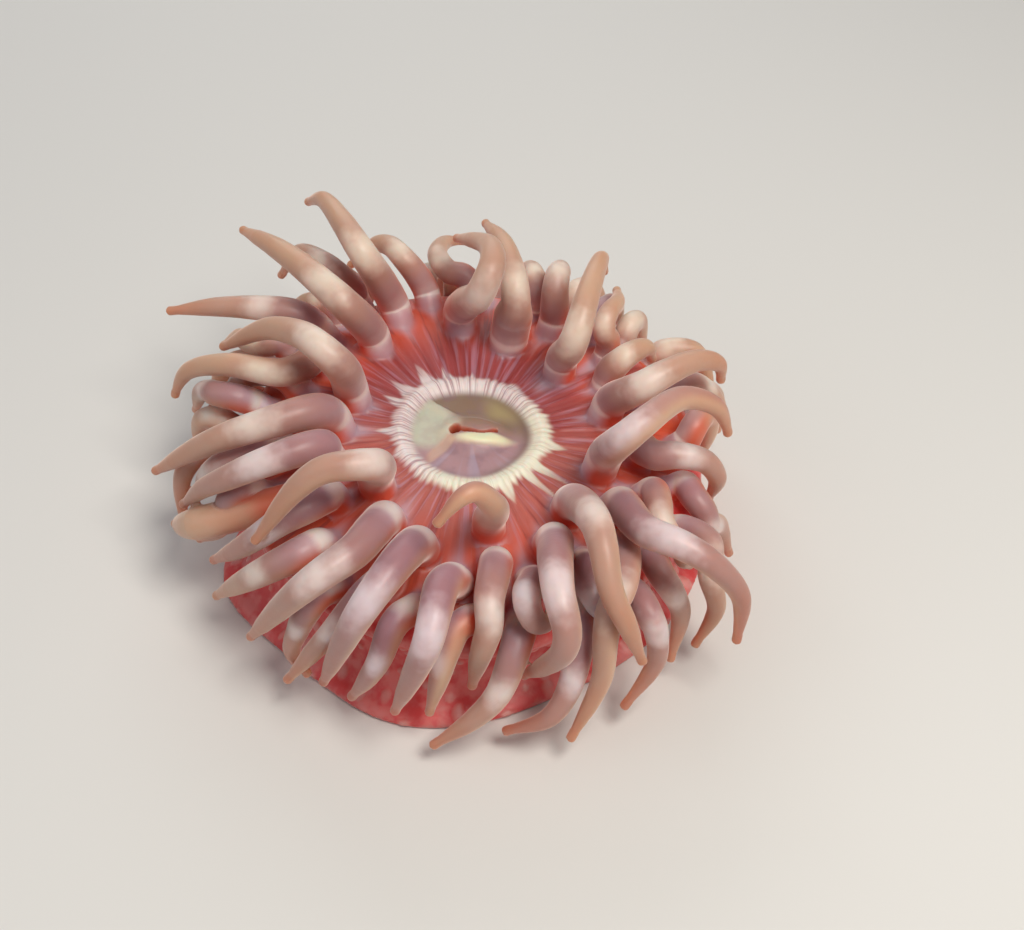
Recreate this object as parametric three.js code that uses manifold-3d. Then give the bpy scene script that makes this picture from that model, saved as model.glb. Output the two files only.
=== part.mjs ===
// A dahlia anemone, life size, as a solid model in its open, feeding pose.
// Millimetres, +Z up. The origin is the middle of the foot, on the surface that the animal grips.
// Azimuths are degrees counter-clockwise from +X seen from above; -Y is the front.
//
// The body is a short, wide column turned about +Z and then leaned and lobed by one warp. Fifty-five
// tentacles stand on the disc in three cycles, and a fringe of shorter ones grows from the collar.
// Each is turned as a straight tapered finger and bent along its own midline, after all the midlines
// have settled clear of each other and of the body.
import * as THREE from "three";
import { mergeVertices } from "three/addons/utils/BufferGeometryUtils.js";
import Module from "manifold-3d";

const wasm = await Module();
wasm.setup();

// ---- driving dimensions ----
const FOOT_RADIUS = 49.5; // the pedal disc, which spreads wider than the column above it
const COLUMN_RADIUS = 43;
const COLLAR_RADIUS = 48; // the thick rim that carries the outermost tentacles
const DISC_HEIGHT = 33; // height of the flat part of the oral disc
const LIP_RADIUS = 17; // outer edge of the ribbed ring round the mouth
const LIP_HEIGHT = 34.4;
const MOUTH_LENGTH = 11;
const MOUTH_WIDTH = 2.4;
const MOUTH_DEPTH = 7;
const SHOULDER_RADIUS = 26; // where the disc starts to fall away towards the collar
const SHOULDER_FALL = 0.0105; // 1/mm: how fast it falls
const SEAM = 0.3; // gap between pieces that meet
const LEAN_RIGHT = 0.07; // the disc tips down towards +X by this slope
const LEAN_FRONT = 0.1; // and its rim tips down towards -Y by this one
const BODY_SEGMENTS = 28;

// Where the foot creeps out past its radius, as a share of it. Azimuth and width are in degrees.
const FOOT_LOBES = [
  { azimuth: 22, swell: 0.05, width: 22 },
  { azimuth: 85, swell: 0.06, width: 26 },
  { azimuth: 142, swell: -0.03, width: 18 },
  { azimuth: 193, swell: 0.14, width: 19 },
  { azimuth: 252, swell: 0.055, width: 18 },
  { azimuth: 292, swell: -0.05, width: 20 },
];

// Base radius of a tentacle in each cycle, and how many flats and rings make its solid.
const CYCLES = {
  inner: { radius: 4.05, sides: 7, rings: 8 },
  middle: { radius: 3.65, sides: 6, rings: 8 },
  outer: { radius: 3.3, sides: 6, rings: 7 },
  fringe: { radius: 3.2, sides: 5, rings: 5 },
};
const TIP_SHARE = 0.32; // tip radius as a share of the base radius
const TIP_RING = 0.965; // where the last ring stands along a tentacle, and how much narrower it is
const TIP_SHOULDER = 0.8;
const BEND_WEIGHT = 0.4; // how strongly rings gather at a bend
const SLIVER = 0.15; // narrower facets than this are closed up where a tentacle is cut

const radians = THREE.MathUtils.degToRad;
const degrees = THREE.MathUtils.radToDeg;
const skin = (colour, roughness) =>
  new THREE.MeshStandardMaterial({ color: colour, roughness, metalness: 0 });
const FLESH = {
  column: skin(0xb3261f, 0.45),
  disc: skin(0x9e3a3c, 0.35),
  lips: skin(0xcfc3b4, 0.35),
  tentacle: skin(0xc99a90, 0.3),
};

const anemone = new THREE.Group();

// ---- the body ----

// Height of the oral disc before it leans, at a distance from the axis.
function discProfile(reach) {
  const fall = Math.max(reach - SHOULDER_RADIUS, 0);
  return DISC_HEIGHT - SHOULDER_FALL * fall * fall;
}

// How far the body bulges at an azimuth (in radians), as a factor. The foot is the most lobed, and
// its lobes fade towards the disc.
function bulge(azimuth, height) {
  const lift = THREE.MathUtils.clamp(height / DISC_HEIGHT, 0, 1);
  const foot = FOOT_LOBES.reduce((sum, lobe) => {
    const aside = THREE.MathUtils.euclideanModulo(degrees(azimuth) - lobe.azimuth + 180, 360) - 180;
    return sum + lobe.swell * Math.exp(-((aside / lobe.width) ** 2));
  }, 0);
  const column = 0.018 * Math.sin(3 * azimuth + 0.8) + 0.012 * Math.sin(5 * azimuth + 2.1);
  return 1 + column + foot * (1 - lift) ** 2;
}

// How much a point of the disc is raised by the body's lean. It fades to nothing at the foot.
function leanAt(x, y) {
  const rim = Math.min(Math.hypot(x, y) / COLUMN_RADIUS, 1.2);
  return -LEAN_RIGHT * x + LEAN_FRONT * y * rim;
}

// A living column is never quite round or level: this lobes and leans any point of the body.
function warp(point) {
  const lean = (leanAt(point.x, point.y) * point.z) / DISC_HEIGHT;
  const spread = bulge(Math.atan2(point.y, point.x), point.z);
  return point.set(point.x * spread, point.y * spread, point.z + lean);
}

function warped(geometry) {
  const place = geometry.attributes.position;
  const point = new THREE.Vector3();
  for (let i = 0; i < place.count; i++) {
    warp(point.fromBufferAttribute(place, i));
    place.setXYZ(i, point.x, point.y, point.z);
  }
  return geometry;
}

// A solid of revolution about +Z from [radius, height] pairs that start and end on the axis.
function turned(pairs, segments = BODY_SEGMENTS) {
  const profile = pairs.map(([radius, height]) => new THREE.Vector2(radius, height));
  return new THREE.LatheGeometry(profile, segments).rotateX(Math.PI / 2);
}

function solidOf(geometry) {
  const bare = new THREE.BufferGeometry();
  const whole = geometry.index ? geometry.toNonIndexed() : geometry;
  bare.setAttribute("position", whole.getAttribute("position"));
  const merged = mergeVertices(bare, 1e-3);
  return new wasm.Manifold(
    new wasm.Mesh({
      numProp: 3,
      vertProperties: merged.attributes.position.array,
      triVerts: new Uint32Array(merged.index.array),
    }),
  );
}

function geometryOf(solid) {
  const { vertProperties, triVerts } = solid.getMesh();
  const geometry = new THREE.BufferGeometry();
  geometry.setAttribute("position", new THREE.BufferAttribute(vertProperties, 3));
  geometry.setIndex(new THREE.BufferAttribute(triVerts, 1));
  return geometry;
}

function addPiece(name, geometry, material) {
  const mesh = new THREE.Mesh(geometry, material);
  mesh.name = name;
  anemone.add(mesh);
}

const FOOT_TOP = 4.5;
const COLUMN_TOP = 19;
const COLLAR_TOP = 25;

// Top of the disc from the collar's edge inwards to a given radius, raised by a margin.
function discTop(outer, inner, steps, margin = 0) {
  return Array.from({ length: steps + 1 }, (_, i) => {
    const reach = outer + ((inner - outer) * i) / steps;
    return [reach, discProfile(reach) + margin];
  });
}

// The pedal disc: flat underneath, with a thin spreading edge.
addPiece(
  "foot",
  warped(
    turned([
      [0, 0],
      [FOOT_RADIUS, 0],
      [FOOT_RADIUS + 0.6, 1.2],
      [FOOT_RADIUS - 2.5, 3.2],
      [COLUMN_RADIUS + 3, FOOT_TOP],
      [0, FOOT_TOP],
    ]),
  ),
  FLESH.column,
);

addPiece(
  "column",
  warped(
    turned([
      [0, FOOT_TOP + SEAM],
      [COLUMN_RADIUS + 2.8, FOOT_TOP + SEAM],
      [COLUMN_RADIUS + 0.6, 9],
      [COLUMN_RADIUS, 13],
      [COLUMN_RADIUS + 0.6, 16.5],
      [COLUMN_RADIUS + 1.8, COLUMN_TOP],
      [0, COLUMN_TOP],
    ]),
  ),
  FLESH.column,
);

// The collar waits for its fringe of tentacles, which are one piece with it.
const bareCollar = solidOf(
  warped(
    turned([
      [0, COLUMN_TOP + SEAM],
      [COLUMN_RADIUS + 2, COLUMN_TOP + SEAM],
      [COLLAR_RADIUS - 0.8, 21.6],
      [COLLAR_RADIUS, COLLAR_TOP],
      [LIP_RADIUS, COLLAR_TOP],
      [0, COLLAR_TOP],
    ]),
  ),
);

const DISC_EDGE = COLLAR_RADIUS - 1.2;
addPiece(
  "oral_disc",
  warped(
    turned([
      [LIP_RADIUS, COLLAR_TOP + SEAM],
      [COLLAR_RADIUS, COLLAR_TOP + SEAM],
      [COLLAR_RADIUS - 0.3, 27],
      ...discTop(DISC_EDGE, LIP_RADIUS, 5),
      [LIP_RADIUS, COLLAR_TOP + SEAM],
    ]),
  ),
  FLESH.disc,
);

// A ribbed ring stands round a shallow dish, and in its middle the lips swell round an open slit.
const lipProfile = [
  [0, COLLAR_TOP + SEAM],
  [LIP_RADIUS - SEAM, COLLAR_TOP + SEAM],
  [LIP_RADIUS - SEAM, DISC_HEIGHT + 0.2],
  [LIP_RADIUS - 1.9, DISC_HEIGHT + 0.9],
  [LIP_RADIUS - 4.4, DISC_HEIGHT],
  [8.5, DISC_HEIGHT + 0.2],
  [5, LIP_HEIGHT],
  [0, LIP_HEIGHT - 0.2],
];
const slit = new THREE.CapsuleGeometry(MOUTH_WIDTH / 2, MOUTH_LENGTH - MOUTH_WIDTH, 3, 8)
  .rotateZ(Math.PI / 2)
  .scale(1, 1, (2 * MOUTH_DEPTH) / MOUTH_WIDTH)
  .translate(0, 0, LIP_HEIGHT);
addPiece(
  "lips",
  geometryOf(solidOf(warped(turned(lipProfile))).subtract(solidOf(slit))),
  FLESH.lips,
);

// The space that the disc needs, with the seam, where the fringe grows past its edge.
const discWithSeam = solidOf(
  warped(
    turned([
      [0, COLLAR_TOP + 0.01],
      [COLLAR_RADIUS + SEAM, COLLAR_TOP + 0.01],
      [COLLAR_RADIUS + SEAM, 27.2],
      [DISC_EDGE, discProfile(DISC_EDGE) + SEAM + 0.1],
      [0, DISC_HEIGHT + 1],
    ]),
  ),
);

// The whole body again, larger by the seam all over: each tentacle is cut off where it meets this.
const bodyWithSeam = solidOf(
  warped(
    turned([
      [0, -1],
      [FOOT_RADIUS + 1, -1],
      [FOOT_RADIUS + 1, 2],
      [COLUMN_RADIUS + 3.5, FOOT_TOP + 1],
      [COLUMN_RADIUS + 1, 9],
      [COLUMN_RADIUS + 0.5, 13],
      [COLUMN_RADIUS + 1, 16.5],
      [COLUMN_RADIUS + 2.4, COLUMN_TOP],
      [COLLAR_RADIUS - 0.3, 21.4],
      [COLLAR_RADIUS + SEAM + 0.1, COLLAR_TOP],
      [COLLAR_RADIUS + SEAM, 27.2],
      ...discTop(DISC_EDGE, LIP_RADIUS, 5, SEAM + 0.1),
      [0, LIP_HEIGHT + 1],
    ]),
  ),
);

// ---- the tentacles ----

// Each row is one tentacle. from: [azimuth, reach] of its root on the disc. via: the bends that its
// midline passes, as [azimuth, reach, height], ending at the tip. girth: thickness against its cycle's.
const TENTACLES = {
  inner: [
    { from: [14, 29], via: [[0, 35, 46], [7, 46, 48], [10, 53, 44], [11, 54, 38]] },
    { from: [45, 27], via: [[25, 24, 50], [37, 31, 56], [49, 43, 54], [50, 45, 48]], girth: 0.95 },
    { from: [74, 29], via: [[67, 25, 50], [77, 35, 54], [87, 51, 50]], girth: 0.95 },
    { from: [95, 33], via: [[82, 19, 56], [79, 25, 60], [88, 36, 56], [95, 45, 50]] },
    { from: [131, 31], via: [[144, 32, 52], [142, 48, 56], [137, 71, 50]] },
    { from: [163, 26], via: [[183, 26, 54], [167, 38, 54], [160, 57, 40]] },
    { from: [182, 28], via: [[196, 33, 46], [195, 49, 44], [184, 67, 26]] },
    { from: [200, 30], via: [[210, 34, 46], [207, 48, 44], [192, 61, 24]], girth: 0.95 },
    { from: [222, 24.5], via: [[240, 35, 54], [230, 42, 54], [219, 52, 36]] },
    { from: [239, 30], via: [[244, 45, 42], [239, 55, 40], [222, 59, 14]] },
    { from: [254, 32], via: [[255, 47, 44], [251, 57, 40], [240, 57, 12]] },
    { from: [279, 26], via: [[278, 39, 52], [272, 43, 60], [264, 46, 54]], girth: 0.9 },
    { from: [300, 33], via: [[288, 54, 44], [287, 62, 38], [280, 52, 18]] },
    { from: [315, 29], via: [[300, 49, 48], [297, 58, 40], [301, 63, 24]] },
    { from: [342, 28], via: [[322, 38, 54], [341, 44, 56], [347, 51, 50], [349, 53, 42]] },
  ],
  middle: [
    { from: [28, 33], via: [[26, 34, 38], [27, 41, 40], [29, 45, 34]] },
    { from: [40, 38], via: [[39, 36, 40], [44, 44, 42], [50, 50, 40]], girth: 0.85 },
    { from: [62, 37], via: [[60, 35, 44], [66, 46, 42], [73, 51, 34]] },
    { from: [116, 38], via: [[126, 40, 56], [123, 61, 56], [123, 70, 50]], girth: 1.05 },
    { from: [140, 40], via: [[145, 47, 42], [151, 58, 44], [155, 75, 40]] },
    { from: [151, 35], via: [[170, 40, 42], [169, 55, 42], [166, 66, 34], [165, 69, 26]] },
    { from: [164, 38], via: [[167, 42, 36], [169, 54, 32], [166, 65, 24]] },
    { from: [190, 38], via: [[191, 40, 34], [193, 51, 34], [181, 63, 14]] },
    { from: [208, 38], via: [[211, 41, 38], [205, 52, 32], [186, 63, 14]] },
    { from: [217, 33], via: [[221, 40, 38], [218, 51, 34], [205, 58, 20]] },
    { from: [226, 40], via: [[227, 42, 34], [220, 52, 28], [207, 59, 12]] },
    { from: [267, 37], via: [[265, 49, 40], [264, 59, 38], [256, 58, 12]], girth: 1.08 },
    { from: [279, 34], via: [[275, 47, 34], [274, 51, 26], [271, 49, 10]] },
    { from: [289, 38], via: [[280, 50, 40], [283, 51, 32], [288, 48, 24]] },
    { from: [307, 39], via: [[298, 51, 34], [300, 51, 26], [296, 46, 16]], girth: 0.9 },
    { from: [317, 40], via: [[297, 58, 34], [294, 62, 20], [288, 63, 6]] },
    { from: [327, 35], via: [[313, 50, 42], [316, 61, 42], [321, 68, 30], [320, 69, 18]], girth: 1.08 },
    { from: [339, 38], via: [[323, 45, 36], [329, 50, 26], [336, 50, 16]], girth: 0.9 },
    { from: [354, 34], via: [[345, 38, 36], [347, 47, 36], [348, 51, 30], [352, 48, 20]] },
  ],
  outer: [
    { from: [2, 43], via: [[4, 47, 34], [9, 51, 26], [13, 52, 14]] },
    { from: [17, 42], via: [[18, 47, 34], [20, 54, 26], [22, 56, 14]] },
    { from: [52, 44], via: [[52, 48, 34], [56, 55, 28], [60, 58, 16]] },
    { from: [70, 43], via: [[71, 47, 38], [75, 52, 36], [79, 56, 29]] },
    { from: [90, 44], via: [[98, 46, 38], [100, 50, 40], [96, 60, 38], [92, 62, 36]] },
    { from: [104, 43], via: [[109, 48, 44], [112, 55, 44], [118, 63, 34]] },
    { from: [123, 45.5], via: [[127, 47, 44], [129, 61, 44], [130, 71, 32]] },
    { from: [133, 45.5], via: [[134, 50, 38], [135, 58, 34]] },
    { from: [150, 45.5], via: [[154, 49, 36], [152, 64, 28]] },
    { from: [170, 45], via: [[174, 50, 38], [167, 57, 30], [162, 65, 18]] },
    { from: [200, 45.5], via: [[202, 51, 29], [197, 55, 20], [189, 60, 10]] },
    { from: [236, 45.5], via: [[235, 50, 26], [232, 56, 14], [235, 55, 6]] },
    { from: [247, 40], via: [[242, 48, 26], [236, 54, 18], [230, 58, 8]] },
    { from: [257, 43], via: [[255, 49, 30], [252, 55, 22], [245, 55, 8]] },
    { from: [273, 44], via: [[269, 50, 28], [265, 54, 20], [262, 55, 8]] },
    { from: [283, 45], via: [[280, 52, 26], [275, 58, 18], [263, 60, 5]], girth: 1.05 },
    { from: [298, 44], via: [[294, 54, 24], [287, 60, 14], [277, 57, 6]], girth: 1.05 },
    { from: [311, 46], via: [[307, 56, 32], [308, 60, 20], [301, 60, 8]] },
    { from: [324, 45], via: [[319, 53, 26], [320, 56, 18], [316, 57, 6]] },
    { from: [333, 45], via: [[322, 55, 28], [324, 60, 18], [322, 58, 6]] },
    { from: [347, 42], via: [[335, 45, 34], [342, 51, 26], [346, 55, 14]] },
  ],
};

// The fringe is a row of like tentacles spread round the collar's edge, thicker set at the back.
const FRINGE = {
  count: 18,
  start: 20,
  sweep: 158, // degrees that the row covers, counter-clockwise from its start
  reach: 47.5,
  height: 22,
  sway: 7, // degrees that every other one turns aside
};

function fringeRow(i) {
  const azimuth = FRINGE.start + (FRINGE.sweep * (i + 0.35 * Math.sin(2.4 * i))) / (FRINGE.count - 1);
  const sway = FRINGE.sway * Math.sin(1.9 * i + 0.6);
  const droop = 1 + 0.25 * Math.sin(3.1 * i);
  const raise = (reach) => leanAt(...atCylinder(azimuth, reach, 0).toArray().slice(0, 2)) * 0.8;
  return {
    from: [azimuth, FRINGE.reach, FRINGE.height],
    via: [
      [azimuth + 0.3 * sway, FRINGE.reach + 6, 28 + raise(52)],
      [azimuth + 0.8 * sway, FRINGE.reach + 12, 25 - 3 * droop + raise(52)],
      [azimuth + 1.3 * sway, FRINGE.reach + 15, 17 - 7 * droop + raise(52)],
    ],
  };
}

const STATIONS = 22; // points along a midline while it settles
const CLEARANCE = 0.9; // between settled tentacles
const SETTLING_ROUNDS = 150;
const LAST_PUSHES = 8; // rounds at the end that only push apart
const BEND_ROOM = 1.5; // least radius of a bend, as a share of the tentacle's own there
const EASINGS = 4; // in each round
const ROOTED = 3; // stations at the root that don't move
const ROOT_DEPTH = 3; // how far a midline starts below the surface of the disc
const FLOOR_CLEARANCE = 1.2;

function atCylinder(azimuth, reach, height) {
  const angle = radians(azimuth);
  return new THREE.Vector3(reach * Math.cos(angle), reach * Math.sin(angle), height);
}

// Thickness along a tentacle, t running from 0 at the root to 1 at the tip.
function taper(t) {
  const swell = 0.92 + 0.1 * Math.sin((Math.min(t / 0.3, 1) * Math.PI) / 2);
  return swell * (1 - (1 - TIP_SHARE) * t ** 1.5);
}

// Surface point under a root, which is on the disc unless it has a height of its own, and the way a
// tentacle leaves it: upright near the mouth, and leaning outwards more and more towards the collar.
function rootOf([azimuth, reach, height = discProfile(Math.min(reach, DISC_EDGE))]) {
  const surface = warp(atCylinder(azimuth, reach, height));
  const lean = radians(8 + 2.4 * Math.max(reach - SHOULDER_RADIUS, 0));
  const outward = atCylinder(azimuth, Math.sin(lean), Math.cos(lean));
  return { surface, outward };
}

function midline(row) {
  const { surface, outward } = rootOf(row.from);
  const start = surface.clone().addScaledVector(outward, -ROOT_DEPTH);
  const neck = surface.clone().addScaledVector(outward, 3);
  const bends = row.via.map((bend) => atCylinder(...bend));
  return new THREE.CatmullRomCurve3([start, neck, ...bends], false, "centripetal");
}

// Opens any bend that is too tight for the tentacle's thickness, so that its skin can't fold into itself.
function easeBends({ points, radii, step }) {
  const before = new THREE.Vector3();
  const after = new THREE.Vector3();
  for (let k = ROOTED; k < STATIONS - 1; k++) {
    before.subVectors(points[k], points[k - 1]);
    after.subVectors(points[k + 1], points[k]);
    const excess = before.angleTo(after) - step / (BEND_ROOM * radii[k]);
    if (excess <= 0) continue;
    after.sub(before).multiplyScalar(Math.min(excess, 0.5));
    points[k].addScaledVector(after, 0.5);
    points[k + 1].addScaledVector(after, -0.25);
    if (k > ROOTED) points[k - 1].addScaledVector(after, -0.25);
  }
}

function chainOf(cycle, row, i) {
  const points = midline(row).getSpacedPoints(STATIONS - 1);
  const { radius, sides, rings } = CYCLES[cycle];
  const girth = radius * (row.girth ?? 1);
  const chain = {
    name: `tentacle_${cycle}_${String(i + 1).padStart(2, "0")}`,
    sides,
    rings,
    girth,
    points,
    radii: points.map((_, k) => girth * taper(k / (STATIONS - 1))),
    step: points[0].distanceTo(points[1]),
  };
  for (let round = 0; round < SETTLING_ROUNDS; round++) easeBends(chain);
  chain.home = points.map((point) => point.clone());
  return chain;
}

const separate = Object.entries(TENTACLES).flatMap(([cycle, rows]) =>
  rows.map((row, i) => chainOf(cycle, row, i)),
);
const fringe = Array.from({ length: FRINGE.count }, (_, i) => chainOf("fringe", fringeRow(i), i));
const chains = [...separate, ...fringe];

// How freely a station moves: not at all at the root, fully from a third of the way along.
const freedom = (k) => THREE.MathUtils.clamp((k - ROOTED + 1) / 5, 0, 1);

function pushApart(a, b) {
  const gap = new THREE.Vector3();
  for (let i = 0; i < STATIONS; i++) {
    for (let j = 0; j < STATIONS; j++) {
      const need = a.radii[i] + b.radii[j] + CLEARANCE;
      gap.subVectors(a.points[i], b.points[j]);
      const distance = gap.length();
      const share = freedom(i) + freedom(j);
      if (distance >= need || distance < 1e-6 || share === 0) continue;
      gap.multiplyScalar((0.6 * (need - distance)) / distance / share);
      a.points[i].addScaledVector(gap, freedom(i));
      b.points[j].addScaledVector(gap, -freedom(j));
    }
  }
}

// Radius of the body at a height, for keeping hanging tentacles outside it.
function bodyRadius(height) {
  if (height < FOOT_TOP) return FOOT_RADIUS + 1;
  if (height < COLUMN_TOP) return COLUMN_RADIUS + 2;
  return COLLAR_RADIUS;
}

function clearOfBody(chain) {
  for (let k = ROOTED + 1; k < STATIONS; k++) {
    const p = chain.points[k];
    const level = p.z - leanAt(p.x, p.y) * Math.min(p.z / DISC_HEIGHT, 1);
    const reach = Math.hypot(p.x, p.y) / bulge(Math.atan2(p.y, p.x), level);
    const need = chain.radii[k] + CLEARANCE;
    const rise = need - (level - discProfile(Math.min(reach, COLLAR_RADIUS)));
    const shift = need - (reach - bodyRadius(level));
    if (rise > 0 && shift > 0) {
      // the shorter way out: up off the disc, or sideways off the column
      const outward = 1 + (0.5 * shift) / reach;
      if (rise < shift) p.z += 0.5 * rise;
      else p.set(p.x * outward, p.y * outward, p.z);
    }
    p.z = Math.max(p.z, chain.radii[k] + FLOOR_CLEARANCE);
  }
}

// Shares each station's move with its neighbours, so that a pushed tentacle keeps its own bends,
// and keeps the spacing of the stations.
function holdTogether({ points, home, step }) {
  const moved = points.map((point, k) => point.clone().sub(home[k]));
  const link = new THREE.Vector3();
  for (let k = ROOTED; k < STATIONS; k++) {
    link.addVectors(moved[k - 1], moved[Math.min(k + 1, STATIONS - 1)]).multiplyScalar(0.5).sub(moved[k]);
    points[k].addScaledVector(link, 0.5);
    points[k].lerp(home[k], 0.01);
  }
  for (let k = ROOTED; k < STATIONS; k++) {
    link.subVectors(points[k], points[k - 1]);
    points[k].addScaledVector(link, 0.3 * (step / link.length() - 1));
  }
}

for (let round = 0; round < SETTLING_ROUNDS; round++) {
  chains.forEach((a, i) => chains.slice(i + 1).forEach((b) => pushApart(a, b)));
  chains.forEach(clearOfBody);
  if (round < SETTLING_ROUNDS - LAST_PUSHES) chains.forEach(holdTogether);
  for (let easing = 0; easing < EASINGS; easing++) chains.forEach(easeBends);
}

// Where the rings stand along a midline: evenly, but closer together where it bends.
function ringStations(curve, count) {
  const steps = 80;
  const tangents = Array.from({ length: steps + 1 }, (_, i) => curve.getTangentAt(i / steps));
  const weights = [0];
  for (let i = 1; i <= steps; i++) {
    weights.push(weights[i - 1] + 1 / steps + BEND_WEIGHT * tangents[i].angleTo(tangents[i - 1]));
  }
  const end = weights[Math.round(TIP_RING * steps)];
  return Array.from({ length: count }, (_, ring) => {
    const share = (end * ring) / (count - 1);
    return ring === count - 1 ? TIP_RING : weights.findIndex((weight) => weight >= share) / steps;
  });
}

// A straight finger turned about +Z, from a flat root at 0 to a closed tip at 1.
function straightFinger({ girth, sides }, stations) {
  const pairs = stations.map((t) => [girth * taper(t) * (t === TIP_RING ? TIP_SHOULDER : 1), t]);
  return turned([[0, 0], ...pairs, [0, 1]], sides);
}

// Bends a straight finger along its midline, carrying its section round without twist.
function fingerOf(chain) {
  const curve = new THREE.CatmullRomCurve3(chain.points, false, "centripetal");
  const finger = straightFinger(chain, ringStations(curve, chain.rings));
  const steps = 200;
  const frames = curve.computeFrenetFrames(steps, false);
  const place = finger.attributes.position;
  const point = new THREE.Vector3();
  for (let i = 0; i < place.count; i++) {
    const [x, y] = [place.getX(i), place.getY(i)];
    const t = THREE.MathUtils.clamp(place.getZ(i), 0, 1);
    const at = Math.round(t * steps);
    curve.getPointAt(t, point);
    point.addScaledVector(frames.normals[at], x).addScaledVector(frames.binormals[at], y);
    place.setXYZ(i, point.x, point.y, point.z);
  }
  return solidOf(finger);
}

for (const chain of separate) {
  const standing = fingerOf(chain).subtract(bodyWithSeam).simplify(SLIVER).decompose();
  standing.sort((a, b) => b.volume() - a.volume());
  addPiece(chain.name, geometryOf(standing[0]), FLESH.tentacle);
}

const collar = fringe.reduce(
  (whole, chain) => whole.add(fingerOf(chain).subtract(discWithSeam)),
  bareCollar,
);
addPiece("collar", geometryOf(collar.simplify(SLIVER)), FLESH.column);

export default anemone;
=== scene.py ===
import math

import bmesh
import bpy
import numpy as np
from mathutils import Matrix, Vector
from mathutils.bvhtree import BVHTree
from mathutils.kdtree import KDTree


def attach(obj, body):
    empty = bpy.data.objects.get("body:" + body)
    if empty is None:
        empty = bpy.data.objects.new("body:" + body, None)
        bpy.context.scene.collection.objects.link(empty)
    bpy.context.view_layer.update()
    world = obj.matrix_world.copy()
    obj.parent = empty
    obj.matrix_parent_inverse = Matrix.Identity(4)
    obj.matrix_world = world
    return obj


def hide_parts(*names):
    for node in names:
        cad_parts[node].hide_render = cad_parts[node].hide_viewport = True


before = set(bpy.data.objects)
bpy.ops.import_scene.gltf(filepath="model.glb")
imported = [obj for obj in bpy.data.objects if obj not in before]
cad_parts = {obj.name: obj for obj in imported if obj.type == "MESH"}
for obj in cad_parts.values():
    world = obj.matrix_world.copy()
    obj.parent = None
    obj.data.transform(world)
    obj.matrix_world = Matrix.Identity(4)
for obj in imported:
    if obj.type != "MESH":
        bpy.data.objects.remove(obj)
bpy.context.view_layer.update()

# ---- the body ----
# One soft column of flesh: a wide foot that grips the rock, a short waist, a thick collar and the flat
# oral disc. It is turned as a smooth form in millimetres, then lobed and leaned as a living column is.
DISC_HEIGHT = 33
LEVEL_REACH, DISC_FALL = 26, 0.0105  # the disc is level out to here, and then curves down
WAIST_REACH = 43
LEAN_RIGHT, LEAN_FRONT = 0.07, 0.1  # how far the disc drops for each millimetre that way
FRONT_LEAN_LIMIT = 1.2  # the forward lean grows with the reach, up to this many waists out
COLUMN_WAVES = ((3, 0.018, 0.8), (5, 0.012, 2.1))  # waves round it, share of its radius, their start
FOOT_LOBES = (  # azimuth in degrees, how far the foot creeps out there, and its width in degrees
    (22, 0.05, 22),
    (85, 0.06, 26),
    (142, -0.03, 18),
    (193, 0.14, 19),
    (252, 0.055, 18),
    (292, -0.05, 20),
)
FOOT_OUTLINE = [(0.2, 0), (30, 0), (47.5, 0), (49.4, 0.2), (50.1, 1.2), (49, 2.4), (47.2, 3.4)]
WAIST_OUTLINE = [(45.9, 4.9), (44.6, 7.5), (43.4, 11), (43.1, 14), (43.8, 17)]
COLLAR_OUTLINE = [(45.2, 19.2), (46.9, 21.4), (47.9, 23.8), (48.2, 25.6), (47.8, 27.2), (46.6, 28.5)]
DISC_REACHES = (44, 40, 36, 32, 28, 24, 20)
OUTLINE_STEPS, BODY_SIDES = 8, 300


def disc_profile(reach):
    return DISC_HEIGHT - DISC_FALL * np.maximum(reach - LEVEL_REACH, 0) ** 2


def degrees_aside(azimuth, middle):
    """How many degrees round the animal an azimuth in radians is from a middle in degrees."""
    return (np.degrees(azimuth) - middle + 180) % 360 - 180


def bulge(azimuth, height):
    """How many times wider than the turned form the body is at an azimuth and a height."""
    lift = np.clip(height / DISC_HEIGHT, 0, 1)
    foot = 0
    for middle, swell, width in FOOT_LOBES:
        foot = foot + swell * np.exp(-((degrees_aside(azimuth, middle) / width) ** 2))
    column = 0
    for waves, depth, start in COLUMN_WAVES:
        column = column + depth * np.sin(waves * azimuth + start)
    return 1 + column + foot * (1 - lift) ** 2


def lean_at(x, y):
    """How far the lean lifts the disc at a place."""
    front_share = np.minimum(np.hypot(x, y) / WAIST_REACH, FRONT_LEAN_LIMIT)
    return -LEAN_RIGHT * x + LEAN_FRONT * y * front_share


def warp(points):
    """Gives points of the turned form the body's lobes and lean."""
    x, y, z = points.T
    spread = bulge(np.arctan2(y, x), z)
    return np.stack([x * spread, y * spread, z + lean_at(x, y) * z / DISC_HEIGHT], 1)


def level_and_reach(points):
    """Undoes the lean and the lobes: the height and radius that a point has on the turned form."""
    x, y, z = points.T
    level = z / (1 + lean_at(x, y) / DISC_HEIGHT)
    return level, np.hypot(x, y) / bulge(np.arctan2(y, x), level)


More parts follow.
